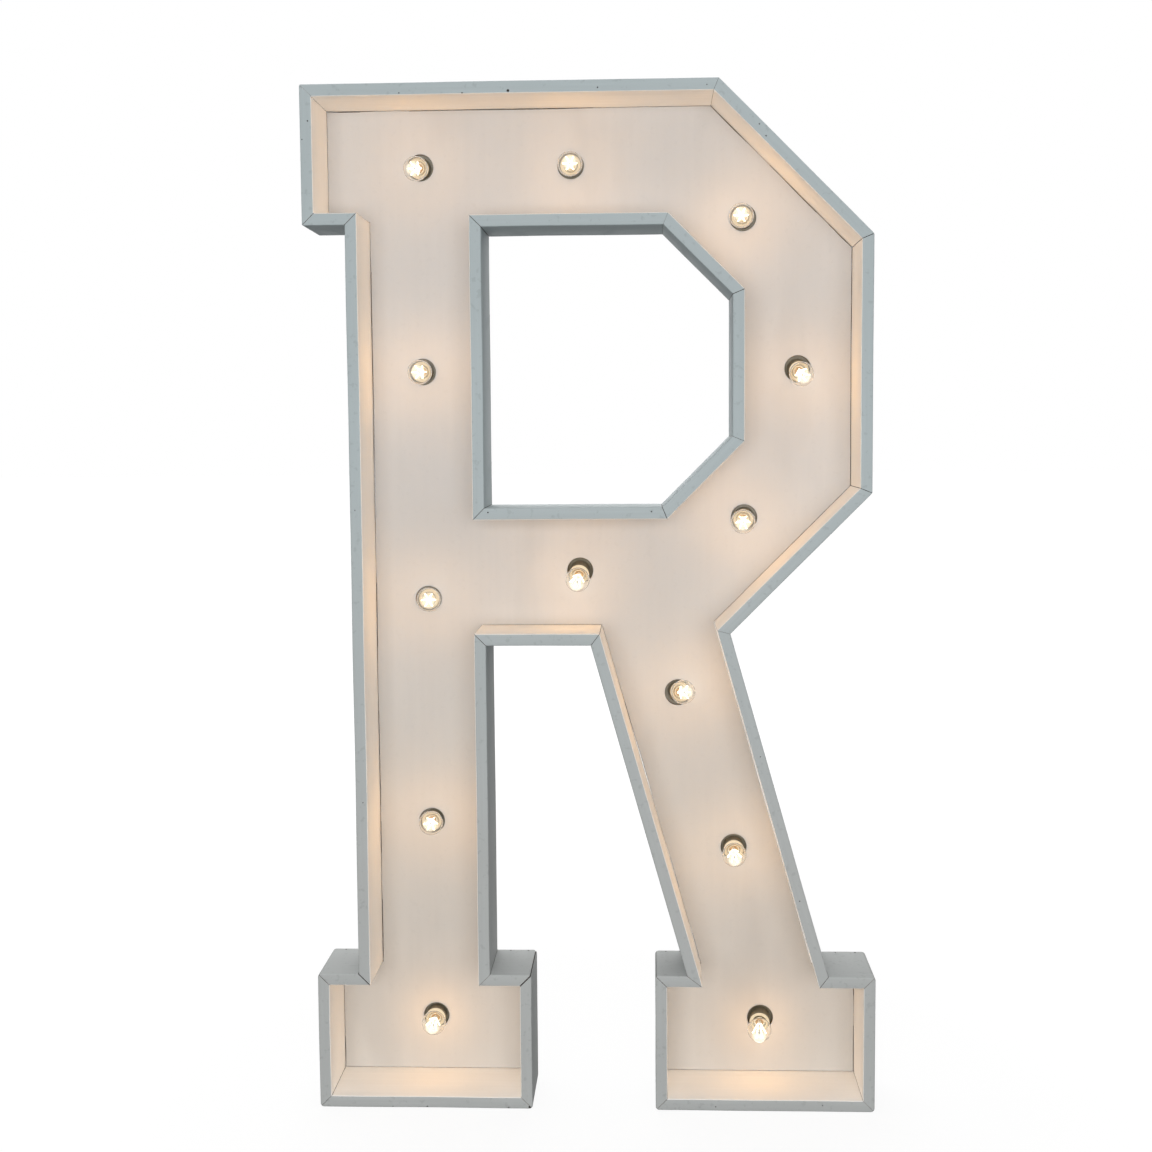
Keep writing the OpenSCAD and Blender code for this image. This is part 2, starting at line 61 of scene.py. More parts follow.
# Studio: lights as name, place, target, size and power, then the level of the world, and the floor
STUDIO_LIGHTS = (
    ("key_left", (-0.5, -3.8, 0.75), (0, 0, 0.6), 1.5, 55.0),
    ("key_right", (0.7, -3.8, 0.75), (0, 0, 0.6), 1.5, 47.0),
    ("overhead", (-0.5, 1.1, 3.7), (0, 0, 0.2), 2.2, 54.0),
    ("behind", (-0.2, 3.6, 1.8), (0, 0, 0.6), 2.6, 40.0),
)
WORLD_LEVEL = 0.39
FLOOR_SIZE = 30.0
FLOOR_GREY = (0.09, 0.09, 0.09, 1)
FLOOR_ROUGHNESS = 0.9
FLOOR_FADE = (0.5, 2.0)
FLOOR_LEVELS = (0.92, 1.0)
WHITE = (1, 1, 1, 1)

# Colours as sRGB values
GREY_PAINT = (178, 188, 190)
PANEL_PAINT = (200, 198, 196)
WALL_PAINT = (251, 249, 245)
RAW_WOOD = (170, 136, 98)
# Dark of the nail holes, also painted as shade into the mitres and the panel's open joints
NAIL_AND_SHADE_DARK = (62, 58, 54)
HARDBOARD = (158, 124, 90)
HOLDER_GREY = (116, 107, 86)
RIM_PLASTIC = (120, 106, 84)
# Painted light of a bulb on its lampholder's rim
RIM_PAINTED_LIGHT = (232, 212, 178)
BRASS = (203, 160, 88)
CAP_CEMENT = (158, 120, 74)
PORCELAIN = (214, 208, 196)
LAMP_LIGHT = (255, 189, 102)
FILAMENT_LIGHT = (255, 240, 212)
# Painted glow of the filaments' light in the bulbs' glass
BULB_PAINTED_GLOW = (252, 248, 224)
CABLE_BLACK = (30, 30, 32)
BOX_BLACK = (44, 45, 48)
GLAND_BLACK = (56, 57, 60)
ROCKER_BLACK = (26, 27, 29)
CLIP_WHITE = (226, 223, 214)
STEEL = (168, 168, 166)

# Paint: its tones, how much of it dirt and smears leave clean, and its painted shade near the floor,
# darker and warmer low down
NOISE_SPAN = (0.3, 0.7)
PAINT_SHINE = 0.12
PAINT_ROUGHNESS = (0.55, 0.7)
DRIFT_TONE = 0.93
DRIFT_SHARE = 0.6
DIRT_TONE = 0.55
DIRT_RARITY = 4
SMEAR_TONE = 0.75
SMEAR_RARITY = 2
SMEAR_STRETCH = (9, 1, 3)
LOW_PAINTED_SHADE = (1.0, 0.915, 0.88, 1.0)
PANEL_LOW_PAINTED_SHADE = (0.97, 0.95, 0.91, 1.0)
PAINTED_SHADE_HEIGHTS = (0.30, 0.80)

# Other materials: darkest and lightest tones, roughness and its spread, the filaments' glow and the
# painted light on the lampholders' rims
WOOD_SHINE = 0.25
WOOD_ROUGHNESS = (0.6, 0.8)
WOOD_TONES = (0.72, 1.1)
WOOD_DRIFT_TONE = 0.8
WOOD_DRIFT_SHARE = 0.35
WEAR_TONES = (0.85, 1.12)
WEAR_ROUGHNESS = 0.08
TARNISH_TONES = (0.7, 1.05)
TARNISH_ROUGHNESS = 0.2
GLASS_IOR = 1.45
GLASS_TINTS = ((1.0, 0.975, 0.93, 1.0), (1.0, 0.99, 0.96, 1.0))
GLASS_ROUGHNESS = (0.0, 0.02)
FILAMENT_GLOW = 2.5
FILAMENT_TONES = (0.85, 1.15)
FILAMENT_ROUGHNESS = 0.6
RIM_PAINTED_LIGHT_STRENGTH = 0.75

# Boards: eased long edges, where their paint ends behind the panel's front, and the material slots, the
# last one dark for the nail holes and for painted shade in the mitres
ARRIS = 1.4 * MM
LEAST_ARRIS = 0.2 * ARRIS
ARC_STEPS = 3
PAINT_REACH = 2.5 * MM
PAINTED, INSIDE, BARE, SHADE_AND_NAILS = range(4)

# Boards' mitres: their uneven easing, the corners that stand open, and how far each joint is closed
MITRE_EASE = 0.4 * MM
EASE_LEAST = 0.3
EASE_SPREAD = 1.4
EASE_PLANE = 0.5
OPEN_EASE = 1.0 * MM
OPEN_CORNERS = ((-0.285, 0.166), (0.327, 1.041), (-0.076, 0.166))
SAME_PLACE = 2 * MM
JOINT_CLOSE = 0.2 * MM

# Boards' rounding at the letter's outer corners, and their hand-made unevenness
CORNER_R = 1.5 * MM
FOOT_CORNER_R = 4 * MM
CORNER_STEPS = 4
WOBBLE = 0.5 * MM
WOBBLE_FINENESS = 7.0
WOBBLE_FADE = 0.05
NOISE_SEED = 1
STATION_STEP = 0.03
LEAST_STATIONS = 4

# Nail holes on the boards' front edges, in millimetres: along the outer face, in from it, and radius
FRONT_NAILS = {
    "top_board": ((116, 11.8, 0.8), (189, 12.8, 0.9), (242, 11.2, 1.7), (345, 9.2, 0.9), (470, 8, 0.7)),
    "top_serif_end_board": ((98, 2.4, 0.8), (119, 9.4, 0.9)),
    "bowl_upper_slant_board": ((70, 5, 0.8), (85, 9, 0.8)),
    "left_foot_base_board": ((3, 2.2, 1.9), (29, 1.6, 0.8), (128, 1.8, 1.0), (170, 1.4, 0.7)),
    "right_foot_base_board": ((62, 8, 0.7), (190, 5, 0.7)),
    "counter_bottom_board": ((4, 5, 0.9), (196, 5, 0.9)),
    "stem_outer_board": ((210, 9, 0.7), (560, 6, 0.7)),
    "leg_outer_board": ((150, 6, 0.7), (330, 8, 0.7)),
}
NAIL_DEEP = 1.6 * MM
NAIL_STEPS = 10

# Nail holes on the boards' outer faces, scattered along the panel's edge
SIDE_NAIL_R = 1.1 * MM
SIDE_NAIL_STEP = 0.17
SIDE_NAIL_SCATTER = 0.2
SCATTER_TURN = 7
SCATTER_SEED = 40

# Panel: eased edges, lamp holes, and the gap that the saw left, wider and painted dark as shade along
# some boards
PANEL_EASE = 0.5 * MM
HOLE_STEPS = 56
HOLE_AREAS = 4
OUTLINE_WELD = 0.02 * MM
SAME_DEPTH = 0.1 * MM
SAW_STEP = 0.02
SAW_FINENESS = 16.0
SAW_MEAN = 0.55
SAW_SPREAD = 0.9
SAW_PLANE = 0.3
SAW_GAP = 0.1 * MM
CRACK_GAP = 0.7 * MM
CRACK_NEAR = 3 * MM
CRACK_PLANE = 0.7
CRACK_NOISE = 0.6
CRACKS = {
    "top_board": 0.55, "bowl_upper_slant_board": 0.8, "bowl_side_board": 1.0, "stem_outer_board": 0.5,
    "leg_inner_board": 0.5, "right_foot_outer_board": 0.7, "left_foot_outer_board": 0.4,
}
EDGE_FACING = 0.3
FLAT_FACING = 0.98

# Lampholders, measured from the seat of the collar along the lamp's axis
RIM_TOP = 20 * MM
RIM_EASE = 0.7 * MM
RIM_STEPS = 4
HOLDER_R = 12.4 * MM
HOLDER_STEPS = 56
MOUTH_R = 8.3 * MM
MOUTH_FLOOR = RIM_TOP - 6 * MM
COLLAR_R = 18.5 * MM
COLLAR_T = 3 * MM
BARREL_END = -26 * MM
CLAMP_R = 14.2 * MM
CLAMP_END = -38 * MM
CLAMP_CHAMFER = 3 * MM

# Bulb caps, measured from the same seat, and the bores that take them
CAP_TOP = RIM_TOP - 2 * MM
CAP_LOW = CAP_TOP - 16 * MM
CAP_R = 6.9 * MM
INSULATOR_LOW = CAP_LOW - 3 * MM
INSULATOR_R = 4.6 * MM
CONTACT_R = 2.4 * MM
CONTACT_LOW = CAP_LOW - 5.5 * MM
CONTACT_DOME = 1 * MM
BORE_R = 7.05 * MM
BORE_FLOOR = CONTACT_LOW - 0.1 * MM
THREAD_PITCH = 2.82 * MM
THREAD_DEEP = 0.55 * MM
THREAD_EASE = 0.6 * MM
THREAD_STEPS = 4
ROUND_STEPS = 40
WELD = 0.01 * MM

# Bulb glass
GLASS_R = 14.8 * MM
GLASS_TIP_R = 7.5 * MM
GLASS_NECK_R = 6.3 * MM
GLASS_WIDE = CAP_TOP + 22 * MM
GLASS_TIP = CAP_TOP + 47 * MM
GLASS_T = 0.7 * MM
GLASS_STEPS = 48
NECK_LOW = CAP_TOP + 0.2 * MM
NECK_TOP = RIM_TOP - 1 * MM
NECK_FLARE = 0.15 * MM
BODY_STEPS = 14
TIP_STEPS = 10

# Bulb stem: bead with its flange, mast, button, support wires and the cage of filaments
STEM_TOP = CAP_TOP + 12 * MM
BEAD_R = 2.6 * MM
BEAD_WAIST_R = 2.2 * MM
BEAD_WAIST = CAP_TOP + 6 * MM
BEAD_TOP = STEM_TOP - 2 * MM
BEAD_STEPS = 24
FLANGE_R = 4.2 * MM
FLANGE_LOW = STEM_TOP - 1.2 * MM
FLANGE_TOP = STEM_TOP - 0.4 * MM
CAGE_LOW_R = 3.2 * MM
CAGE_TOP_R = 8 * MM
CAGE_TOP = CAP_TOP + 30.4 * MM
HUB = CAGE_TOP - 1 * MM
MAST_LOW = STEM_TOP - 1 * MM
MAST_R = 0.7 * MM
BUTTON_LOW = HUB + 0.3 * MM
BUTTON_TOP = CAGE_TOP + 0.5 * MM
BUTTON_R = 1.3 * MM
WIRE_R = 0.3 * MM
FILAMENTS = 6
FILAMENT_R = 0.9 * MM

# Light of each lamp: its place on the axis, its size and power, how far its brightest spot is evened
# out, and the painted glow in the glass, from the radius where it starts to fade to the one where it
# ends
LIGHT_UP = 50 * MM
LIGHT_R = 7 * MM
LAMP_POWER = 0.068
LAMP_REACH = 24 * MM
PAINTED_GLOW_CORE = 5.2 * MM
PAINTED_GLOW_EDGE = 10 * MM
PAINTED_GLOW_STRENGTH = 0.26

# Wiring behind the panel: the cable's way from lamp to lamp, and its clips
CABLE_R = 3 * MM
CABLE_SEAT = -32 * MM
CABLE_STEPS = 10
CABLE_ROUNDNESS = 4
CHAIN = (10, 9, 8, 7, 1, 2, 3, 4, 5, 6, 11, 12, 13)
CLIP_TAB_T = 2.8 * MM
CLIP_NAIL_OUT = 8.2 * MM
CLIP_NAIL_R = 1.6 * MM

# Feed box: its ears, their height as a share of the box, and where the cable leaves it
EAR_W = 8 * MM
EAR_T = 3 * MM
EAR_HEIGHT = 0.75
OUTLET_UP = 17 * MM
BOX_SCREW_R = 2.8 * MM

# Head of a screw or nail as shares of its radius: distance from the axis and height
SCREW_HEAD = ((1, 0), (1, 0.25), (0.8, 0.5), (0.3, 0.62), (0.3, 0.3), (0, 0.3))
SCREW_STEPS = 20
EASED_ANGLE = 40

JOINTS = {joint["child"]: joint for joint in frame["joints"]}
PANEL_LOW, PANEL_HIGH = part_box("back_panel")
PANEL_MID = (PANEL_LOW.y + PANEL_HIGH.y) / 2

# One seed, so that the boards' unevenness is the same in every run
noise.seed_set(NOISE_SEED)


def linear(colour):
    """Scene-linear RGBA of an sRGB colour."""
    parts = [c / 255 for c in colour]
    return [p / 12.92 if p < 0.04045 else ((p + 0.055) / 1.055) ** 2.4 for p in parts] + [1.0]


def shade(colour, factor):
    """A linear colour made lighter or darker."""
    return [min(1.0, c * factor) for c in linear(colour)[:3]] + [1.0]


class Graph:
    """A new material's nodes, with short calls for the ones used here."""

    def __init__(self, name, sockets):
        self.material = bpy.data.materials.new(name)
        self.material.use_nodes = True
        self.tree = self.material.node_tree
        self.bsdf = self.tree.nodes["Principled BSDF"]
        for socket, value in sockets.items():
            self.bsdf.inputs[socket].default_value = value

    def add(self, kind, inputs, **settings):
        made = self.tree.nodes.new("ShaderNode" + kind)
        for key, value in settings.items():
            setattr(made, key, value)
        for key, value in inputs.items():
            self.set(made.inputs[key], value)
        return made

    def set(self, socket, value):
        if isinstance(value, bpy.types.NodeSocket):
            self.tree.links.new(value, socket)
        else:
            socket.default_value = value

    def place(self, kind="Object", scale=(1, 1, 1)):
        """Texture coordinates of a kind, stretched by a scale on each axis."""
        coordinates = self.add("TexCoord", {}).outputs[kind]
        return self.add("Mapping", {"Vector": coordinates, "Scale": scale}).outputs["Vector"]

    def noise(self, place, scale, detail):
        return self.add("TexNoise", {"Vector": place, "Scale": scale, "Detail": detail}).outputs["Fac"]

    def length(self, vector):
        return self.add("VectorMath", {"Vector": vector}, operation="LENGTH").outputs["Value"]

    def ramp(self, factor, low, high, span=NOISE_SPAN):
        """Colour from low to high as the factor goes over a span."""
        made = self.add("ValToRGB", {"Fac": factor})
        for element, position, colour in zip(made.color_ramp.elements, span, (low, high)):
            element.position = position
            element.color = colour
        return made.outputs["Color"]

    def toned(self, factor, colour, tones):
        """Colour from its dark to its light tone as a noise goes over its usual span."""
        dark, light = tones
        return self.ramp(factor, shade(colour, dark), shade(colour, light))

    def blend(self, factor, a, b, **settings):
        inputs = {"Fac": factor, "Color1": a, "Color2": b}
        return self.add("MixRGB", inputs, **settings).outputs["Color"]

    def remap(self, value, start, end, **settings):
        """A number that goes over the second range as a value goes over the first."""
        inputs = {"Value": value, "From Min": start[0], "From Max": start[1]}
        inputs.update({"To Min": end[0], "To Max": end[1]})
        return self.add("MapRange", inputs, **settings).outputs["Result"]

    def span(self, factor, low, high):
        """A number from low to high as a noise goes over its usual span."""
        return self.remap(factor, NOISE_SPAN, (low, high))

    def painted_low_shade(self, colour, shade_tint):
        """A colour multiplied by a painted shade near the floor, darker and warmer, which fades out
        higher up.
        """
        height = self.add("SeparateXYZ", {"Vector": self.place()}).outputs["Z"]
        fade = self.ramp(height, shade_tint, WHITE, PAINTED_SHADE_HEIGHTS)
        return self.blend(1.0, colour, fade, blend_type="MULTIPLY")

    def bump(self, height, distance, strength):
        inputs = {"Height": height, "Distance": distance, "Strength": strength}
        return self.add("Bump", inputs).outputs["Normal"]

    def glow(self, strength):
        """Lets the surface glow, without being sampled as a light."""
        self.set(self.bsdf.inputs["Emission Strength"], strength)
        self.material.cycles.emission_sampling = "NONE"

    def finish(self, colour, roughness, normal):
        for name, value in (("Base Color", colour), ("Roughness", roughness), ("Normal", normal)):
            self.set(self.bsdf.inputs[name], value)
        return self.material


def brushed_paint(name, colour, kind, stretch, contrast, dirt, smears=0.0, low_shade=None):
    """Satin paint with brush streaks, slow drift, dirt, smears and painted shade near the floor."""
    graph = Graph(name, {"Specular IOR Level": PAINT_SHINE})
    streaks = graph.noise(graph.place(kind, stretch), scale=1.0, detail=6.0)
    drift = graph.noise(graph.place(), scale=6.0, detail=3.0)
    specks = graph.noise(graph.place(), scale=160.0, detail=2.0)
    base = graph.toned(streaks, colour, (1 - contrast, 1 + contrast))
    base = graph.blend(graph.span(drift, 0.0, DRIFT_SHARE), base, shade(colour, DRIFT_TONE))
    base = graph.blend(graph.span(specks, -DIRT_RARITY * dirt, dirt), base, shade(colour, DIRT_TONE))
    if smears:
        patches = graph.noise(graph.place("Object", SMEAR_STRETCH), scale=1.0, detail=3.0)
        cover = graph.span(patches, -SMEAR_RARITY * smears, smears)
        base = graph.blend(cover, base, shade(colour, SMEAR_TONE))
    # Painted shade: the paint turns darker and warmer towards the floor
    if low_shade:
        base = graph.painted_low_shade(base, low_shade)
    bump = graph.bump(streaks, distance=0.25 * MM, strength=0.5)
    return graph.finish(base, graph.span(streaks, *PAINT_ROUGHNESS), bump)


def bare_wood(name, colour, kind, stretch):
    """Unpainted wood with long grain lines."""
    graph = Graph(name, {"Specular IOR Level": WOOD_SHINE})
    grain = graph.noise(graph.place(kind, stretch), scale=1.0, detail=8.0)
    drift = graph.noise(graph.place(), scale=9.0, detail=3.0)
    base = graph.toned(grain, colour, WOOD_TONES)
    cover = graph.span(drift, 0.0, WOOD_DRIFT_SHARE)
    base = graph.blend(cover, base, shade(colour, WOOD_DRIFT_TONE))
    bump = graph.bump(grain, distance=0.3 * MM, strength=0.5)
    return graph.finish(base, graph.span(grain, *WOOD_ROUGHNESS), bump)


def moulded(name, colour, roughness, grain_scale=900.0, sockets=None):
    """Moulded plastic or rubber with a fine grain and a little wear."""
    graph = Graph(name, sockets or {})
    grain = graph.noise(graph.place(), grain_scale, detail=2.0)
    wear = graph.noise(graph.place(), scale=40.0, detail=4.0)
    rough = graph.span(wear, roughness - WEAR_ROUGHNESS, roughness + WEAR_ROUGHNESS)
    bump = graph.bump(grain, distance=0.05 * MM, strength=0.4)
    return graph.finish(graph.toned(wear, colour, WEAR_TONES), rough, bump)


def metal(name, colour, roughness):
    """Drawn metal with faint tarnish."""
    graph = Graph(name, {"Metallic": 1.0})
    tarnish = graph.noise(graph.place(), scale=120.0, detail=5.0)
    rough = graph.span(tarnish, roughness, roughness + TARNISH_ROUGHNESS)
    bump = graph.bump(tarnish, distance=0.03 * MM, strength=0.3)
    return graph.finish(graph.toned(tarnish, colour, TARNISH_TONES), rough, bump)


def glass_with_painted_glow(name):
    """Thin blown glass with slight waves, and a painted glow of the filaments' light that fades away
    from the lamp's axis.
    """
    sockets = {"Transmission Weight": 1.0, "IOR": GLASS_IOR, "Emission Color": linear(BULB_PAINTED_GLOW)}
    graph = Graph(name, sockets)
    radius = graph.length(graph.place("Object", (1, 1, 0)))
    reach, levels = (PAINTED_GLOW_CORE, PAINTED_GLOW_EDGE), (PAINTED_GLOW_STRENGTH, 0.0)
    # Painted glow: the glass shines round the filaments, fading out away from the axis
    graph.glow(graph.remap(radius, reach, levels, interpolation_type="SMOOTHSTEP"))
    waves = graph.noise(graph.place(), scale=90.0, detail=2.0)
    bump = graph.bump(waves, distance=0.03 * MM, strength=0.2)
    return graph.finish(graph.ramp(waves, *GLASS_TINTS), graph.span(waves, *GLASS_ROUGHNESS), bump)


def glowing(name, colour, strength):
    """Lit filament whose glow varies a little along it."""
    graph = Graph(name, {"Emission Color": linear(colour)})
    flicker = graph.noise(graph.place(), scale=250.0, detail=2.0)
    low, high = FILAMENT_TONES
    graph.glow(graph.span(flicker, low * strength, high * strength))
    bump = graph.bump(flicker, distance=0.02 * MM, strength=0.2)
    return graph.finish(linear(colour), FILAMENT_ROUGHNESS, bump)


def seen_rays(tree):
    """Socket that is 1 for rays of the camera, of mirror images and of looks through glass."""
    paths = tree.nodes.new("ShaderNodeLightPath").outputs
    seen = paths["Is Camera Ray"]
    for kind in ("Is Glossy Ray", "Is Transmission Ray"):
        larger = tree.nodes.new("ShaderNodeMath")
        larger.operation = "MAXIMUM"
        tree.links.new(seen, larger.inputs[0])
        tree.links.new(paths[kind], larger.inputs[1])
        seen = larger.outputs[0]
    return seen


GREY = brushed_paint(
    "grey_paint", GREY_PAINT, "UV", (7, 260, 1), contrast=0.04, dirt=0.25, low_shade=LOW_PAINTED_SHADE)
CREAM = brushed_paint("wall_paint", WALL_PAINT, "UV", (6, 160, 1), contrast=0.03, dirt=0.04)
PANEL = brushed_paint(
    "panel_paint", PANEL_PAINT, "Object", (110, 1, 6), contrast=0.015, dirt=0.05, smears=0.3,
    low_shade=PANEL_LOW_PAINTED_SHADE)
WOOD = bare_wood("bare_wood", RAW_WOOD, "UV", (8, 300, 1))
# Dark wood of the nail holes, also painted as shade into the mitres' grooves and the panel's open
# joints
NAIL_AND_SHADE = bare_wood("nail_hole_and_painted_shade", NAIL_AND_SHADE_DARK, "Object", (300, 300, 300))
BOARD_BACK = bare_wood("hardboard", HARDBOARD, "Object", (220, 1, 6))
HOLDER = moulded("holder_plastic", HOLDER_GREY, roughness=0.42)
# Lampholder rim with painted light: dark plastic that glows cream as though lit by its bulb, the same
# under any light
PAINTED_LIGHT_RIM = moulded(
    "rim_painted_light", RIM_PLASTIC, roughness=0.4,
    sockets={"Emission Color": linear(RIM_PAINTED_LIGHT), "Emission Strength": RIM_PAINTED_LIGHT_STRENGTH})
CEMENT = moulded("cap_cement", CAP_CEMENT, roughness=0.6)
INSULATOR = moulded("insulator", CABLE_BLACK, roughness=0.3)
BEAD = moulded("stem_bead", PORCELAIN, roughness=0.25)
BRASS_METAL = metal("brass", BRASS, roughness=0.28)
STEEL_METAL = metal("steel", STEEL, roughness=0.35)
GLASS = glass_with_painted_glow("bulb_glass")
GLOW = glowing("filament_glow", FILAMENT_LIGHT, FILAMENT_GLOW)
CABLE = moulded("cable_rubber", CABLE_BLACK, roughness=0.55, grain_scale=1500.0)
BOX = moulded("box_plastic", BOX_BLACK, roughness=0.5, grain_scale=1200.0)
GLAND = moulded("gland_plastic", GLAND_BLACK, roughness=0.42)
ROCKER = moulded("rocker_plastic", ROCKER_BLACK, roughness=0.3)
CLIP = moulded("clip_plastic", CLIP_WHITE, roughness=0.45)

# CAD nodes that keep their shape, with the width of their eased edges
KEPT_NODES = (
    ("cable_clips", CLIP, 0.25 * MM), ("feed_box", BOX, 0.6 * MM),
    ("cable_gland", GLAND, 0.5 * MM), ("switch_rocker", ROCKER, 0.4 * MM),
)

# What the lamps' lights fall on: the boards and the panel
LIT = bpy.data.collections.new("lit_by_lamps")


def with_materials(mesh, *materials):
    """A mesh with its material slots filled."""
    for material in materials:
        mesh.materials.append(material)
    return mesh


def new_object(name, data, *materials):
    """Links a mesh, light or camera into the scene under a name, a mesh with its materials."""
    made = bpy.data.objects.new(name, with_materials(data, *materials))
    bpy.context.scene.collection.objects.link(made)
    return made


def smooth(mesh, sharp):
    """Shades a mesh smooth up to an angle in degrees."""
    mesh.polygons.foreach_set("use_smooth", [True] * len(mesh.polygons))
    mesh.set_sharp_from_angle(angle=math.radians(sharp))


def to_mesh(name, bm, sharp=35.0):
    """Mesh from a bmesh, shaded smooth up to an angle in degrees."""
    mesh = bpy.data.meshes.new(name)
    bmesh.ops.recalc_face_normals(bm, faces=bm.faces)
    bm.to_mesh(mesh)
    bm.free()
    smooth(mesh, sharp)
    return mesh


def curve_mesh(curve, lines, closed):
    """Mesh of a curve, once it is given its lines of points."""
    for line in lines:
        spline = curve.splines.new("POLY")
        spline.points.add(len(line) - 1)
        spline.use_cyclic_u = closed
        for point, spot in zip(spline.points, line):
            point.co = (*spot, 1)
    guide = bpy.data.objects.new("curve_guide", curve)
    mesh = bpy.data.meshes.new_from_object(guide)
    bpy.data.objects.remove(guide)
    return mesh


def aimed(place, way):
    """Matrix that carries +Z on to a direction, from a place."""
    return Matrix.Translation(place) @ way.to_track_quat("Z", "Y").to_matrix().to_4x4()


def lathe(bm, profile, steps=ROUND_STEPS, at=Matrix(), index=0):
    """Turns a profile of (radius, height) points about +Z into a bmesh. A radius of 0 is a point."""
    rings = []
    for radius, height in profile:
        count = 1 if radius == 0 else steps
        rings.append([bm.verts.new(at @ p) for p in around(count, radius, height)])
    for low, high in zip(rings, rings[1:]):
        for i in range(steps):
            j = (i + 1) % steps
            quad = [low[i % len(low)], low[j % len(low)], high[j % len(high)], high[i % len(high)]]
            corners = list(dict.fromkeys(quad))
            if len(corners) > 2:
                bm.faces.new(corners).material_index = index


def around(count, radius, height):
    """Points evenly round +Z at a radius and a height."""
    turns = [2 * math.pi * i / count for i in range(count)]
    return [Vector((radius * math.cos(a), radius * math.sin(a), height)) for a in turns]


def arc(centre_r, centre_h, radius, start, end, steps):
    """Profile points of an arc, angles in degrees from the outward direction."""
    angles = [math.radians(start + (end - start) * i / steps) for i in range(steps + 1)]
    return [(centre_r + radius * math.cos(a), centre_h + radius * math.sin(a)) for a in angles]


def rod(bm, start, end, radius, steps, index=0):
    """Straight round rod between two points, with eased ends."""
    way = end - start
    ease = 0.3 * radius
    profile = [(0, 0), (radius - ease, 0), (radius, ease)]
    profile += [(radius, way.length - ease), (radius - ease, way.length), (0, way.length)]
    lathe(bm, profile, steps, aimed(start, way), index)


def flat_noise(spot, plane, fineness):
    """Noise at a place of the front view, with a plane of its own for each use."""
    return noise.noise(Vector((spot.x, plane, spot.y)) * fineness)


def riding(piece, body, slot, *nodes):
    """Lets a piece ride on a body, and hides the nodes that it stands for; its finish, the slot, is not
    used.
    """
    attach(piece, body)
    if nodes:
        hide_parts(*nodes)


class Board:
    """One mitred board: its outer and inner edges in the front view, and its depth."""

    def __init__(self, node, panel_tree):
        low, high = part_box(node)
        self.node, self.front, self.back = node, low.y, high.y
        corners = sorted_corners(frame["nodes"][node].data)
        middles = [(corners[i] + corners[(i + 1) % 4]) / 2 for i in range(4)]
        near = [panel_tree.find_nearest(Vector((m.x, PANEL_MID, m.y)))[3] for m in middles]
        i = near.index(min(near))
        turned = [corners[(i + j) % 4] for j in range(4)]
        self.inner_start, self.inner_end, self.outer_end, self.outer_start = turned
        self.along = (self.outer_end - self.outer_start).normalized()
        start, end = self.inner_start - self.outer_start, self.inner_end - self.outer_end
        self.thick = abs(start.x * self.along.y - start.y * self.along.x)
        self.length = (self.outer_end - self.outer_start).length
        self.outward = (self.along * start.dot(self.along) - start).normalized()
        self.mitres = (start.angle(self.along), end.angle(-self.along))
        self.corner_r = FOOT_CORNER_R if "foot" in node else CORNER_R

    def pull_in(self, share):
        """How far the outer face is rounded in next to an outer corner of the letter."""
        pulled = 0.0
        for away, mitre in zip((share * self.length, (1 - share) * self.length), self.mitres):
            if mitre < math.pi / 2:
                lean = math.acos(min(math.cos(mitre), away * math.sin(mitre) / self.corner_r)) - mitre
                pulled += self.corner_r * (1 - math.cos(lean))
        return pulled

    def point(self, across, depth, share):
        """Place at a distance from the outer face, at a depth, and at a share of the length."""
        across += self.pull_in(share) * (1 - across / self.thick)
        start = self.outer_start.lerp(self.inner_start, across / self.thick)
        end = self.outer_end.lerp(self.inner_end, across / self.thick)
        flat = start.lerp(end, share)
        return Vector((flat.x, depth, flat.y))


def sorted_corners(mesh):
    """The four front-view corners of a board's mesh, in order round it."""
    found = {(round(v.co.x, 5), round(v.co.z, 5)) for v in mesh.vertices}
    corners = [Vector(c) for c in found]
    middle = sum(corners, Vector((0, 0))) / len(corners)
    return sorted(corners, key=lambda c: math.atan2(c.y - middle.y, c.x - middle.x))


def board_ring(board, inset):
    """Eased section of a board as (across, depth) points, from the front inner edge round."""
    low, high = inset, board.thick - inset
    front, back = board.front + inset, board.back - inset
    ease = max(ARRIS - inset, LEAST_ARRIS)
    corners = (
        (high - ease, front + ease, -90), (high - ease, back - ease, 0),
        (low + ease, back - ease, 90), (low + ease, front + ease, 180),
    )
    ring = []
    for across, depth, start in corners:
        ring += arc(across, depth, ease, start, start + 90, ARC_STEPS)
    ring.insert(ARC_STEPS + 1, (high, PANEL_LOW.y + PAINT_REACH))
    return ring


def mitre_ease(corner):
    """Easing of the mitre at a corner of the letter, uneven from corner to corner and open at some."""
    if any((corner - Vector(spot)).length < SAME_PLACE for spot in OPEN_CORNERS):
        return OPEN_EASE
    unevenness = abs(flat_noise(corner, EASE_PLANE, WOBBLE_FINENESS))
    return MITRE_EASE * (EASE_LEAST + EASE_SPREAD * unevenness)


def board_stations(board, eases):
    """Shares of a board's length where its section is drawn, close together near its ends."""
    steps = max(LEAST_STATIONS, math.ceil(board.length / STATION_STEP))
    turns = [board.corner_r * i / CORNER_STEPS / board.length for i in range(1, CORNER_STEPS + 1)]
    starts = sorted([eases[0.0] / board.length] + turns)
    ends = sorted([1 - eases[1.0] / board.length] + [1 - turn for turn in turns])
    return [0.0] + starts + [i / steps for i in range(1, steps)] + ends + [1.0]


def board_section(bm, board, share, inset):
    """Vertices of a board's section at a share of its length, stretched to close the joints."""
    stretched = 0.5 + (share - 0.5) * (1 + 2 * JOINT_CLOSE / board.length)
    fade = min(1.0, min(share, 1 - share) * board.length / WOBBLE_FADE)
    section = []
    for across, depth in board_ring(board, inset):
        place = board.point(across, depth, stretched)
        shift = noise.noise_vector(place * WOBBLE_FINENESS) * WOBBLE * fade
        section.append(bm.verts.new(place + shift))
    return section


